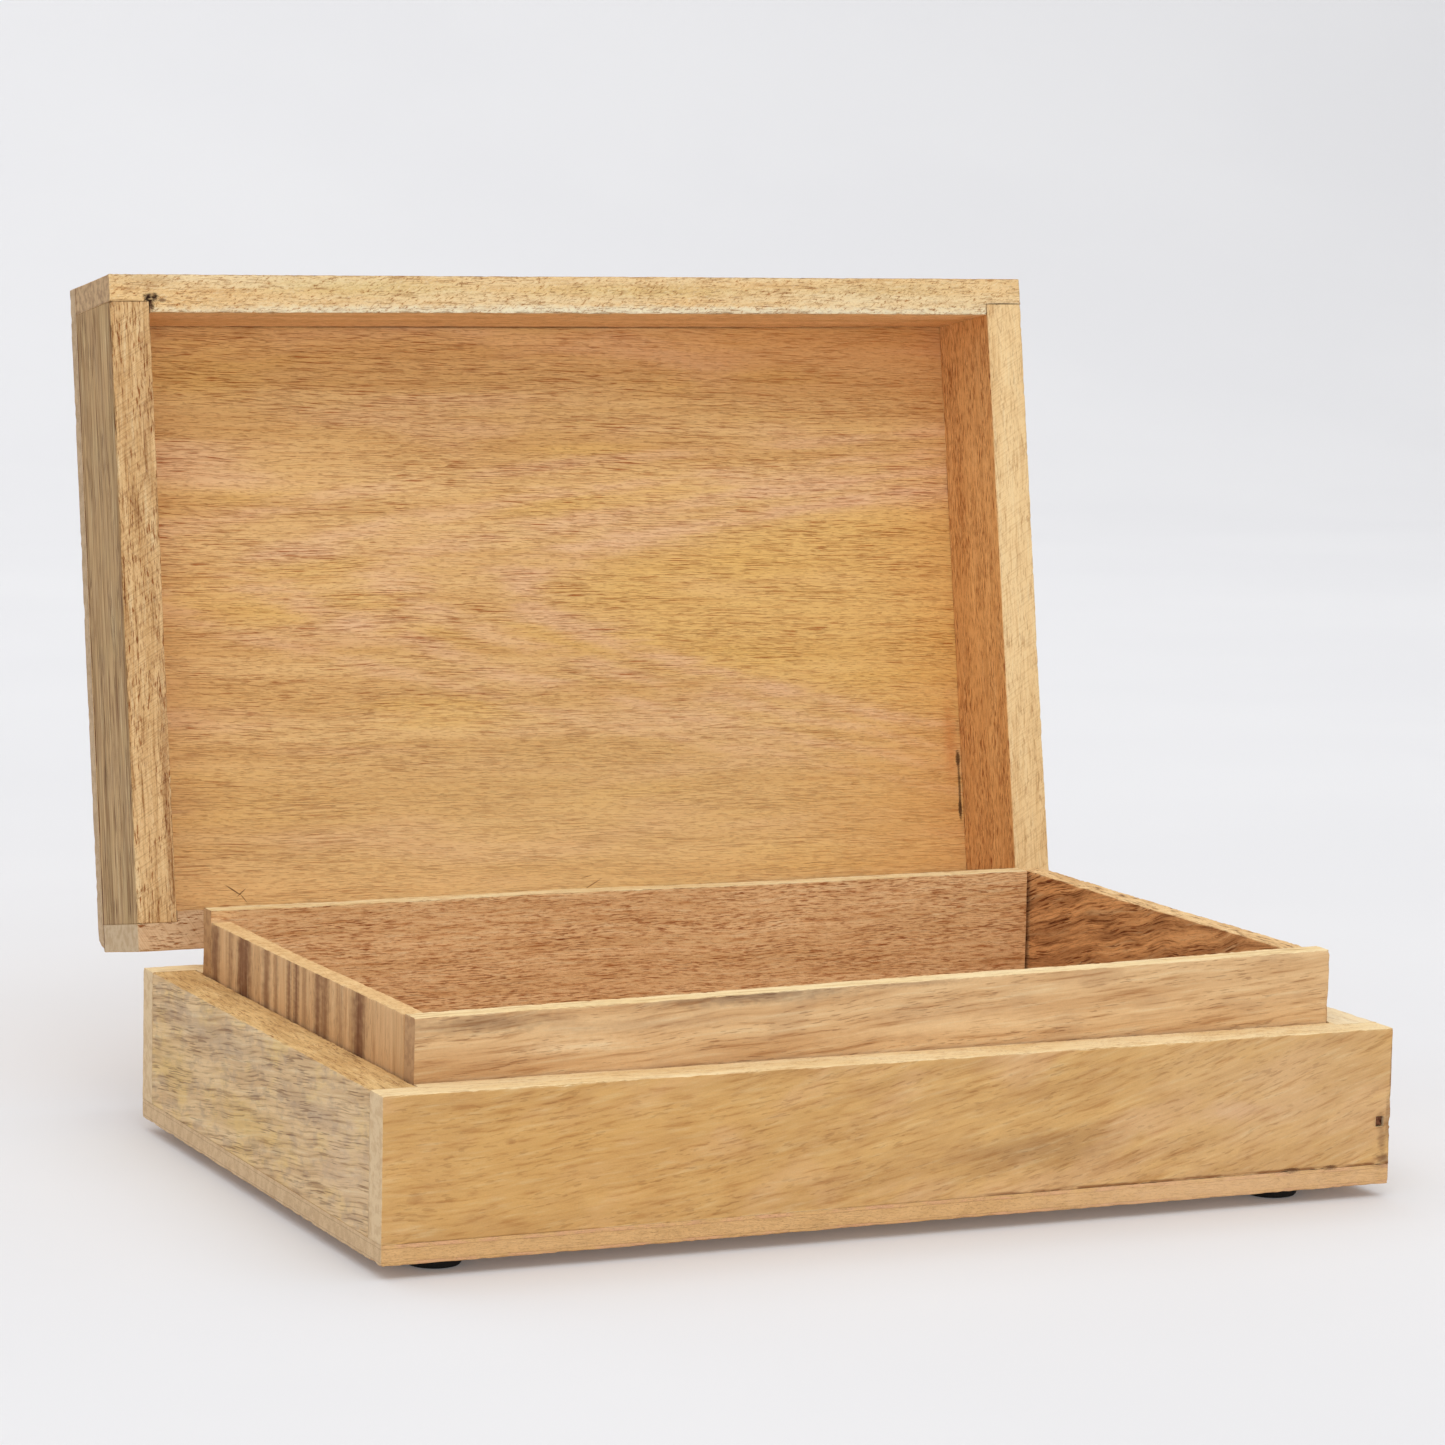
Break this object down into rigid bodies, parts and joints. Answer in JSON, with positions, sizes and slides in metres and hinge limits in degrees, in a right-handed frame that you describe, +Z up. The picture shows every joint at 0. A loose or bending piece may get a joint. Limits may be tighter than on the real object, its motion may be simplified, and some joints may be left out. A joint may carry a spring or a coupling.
{
  "type": "hinged wooden box",
  "caption": "Shallow rabbeted wooden box with a plywood-topped hinged lid, standing liner boards that locate the lid, rubber feet and stop hinges.",
  "frame": {"origin": "centre of the open box's bounding box, at the floor its feet stand on", "axes": "+X along the box's width, left to right seen from the front; front faces -Y; +Z up"},
  "size_m": [0.254, 0.2317, 0.2088],
  "materials": {
    "wall_wood": "raw, open-grained, lightly sanded",
    "liner_wood": "raw, rough-sawn",
    "plywood": "raw orange-tan veneer",
    "rubber": "matte black",
    "brass": "dull plated",
    "steel": "dark, slightly rusted"
  },
  "bodies": {
    "base": {"base_front_wall": "wall_wood", "base_back_wall": "wall_wood", "base_left_wall": "wall_wood", "base_right_wall": "wall_wood", "base_bottom_panel": "plywood", "liner_front": "liner_wood", "liner_back": "liner_wood", "liner_left": "liner_wood", "liner_right": "liner_wood", "foot_front_left": "rubber", "foot_front_right": "rubber", "foot_back_left": "rubber", "foot_back_right": "rubber", "brad_front": "steel", "brad_back": "steel", "hinge_left_base_leaf": "brass", "hinge_left_pin": "brass", "hinge_right_base_leaf": "brass", "hinge_right_pin": "brass", "screw_left_base_a": "brass", "screw_left_base_b": "brass", "screw_right_base_a": "brass", "screw_right_base_b": "brass"},
    "lid": {"lid_front_wall": "wall_wood", "lid_back_wall": "wall_wood", "lid_left_wall": "wall_wood", "lid_right_wall": "wall_wood", "lid_top_panel": "plywood", "hinge_left_lid_leaf": "brass", "hinge_right_lid_leaf": "brass", "screw_left_lid_a": "brass", "screw_left_lid_b": "brass", "screw_right_lid_a": "brass", "screw_right_lid_b": "brass"}
  },
  "joints": [
    {"name": "lid_hinge", "type": "hinge", "parent": "base", "child": "lid", "pos_m": [0, 0.05459, 0.04075], "axis": [1, 0, 0], "range_deg": [0, 99.6]}
  ]
}
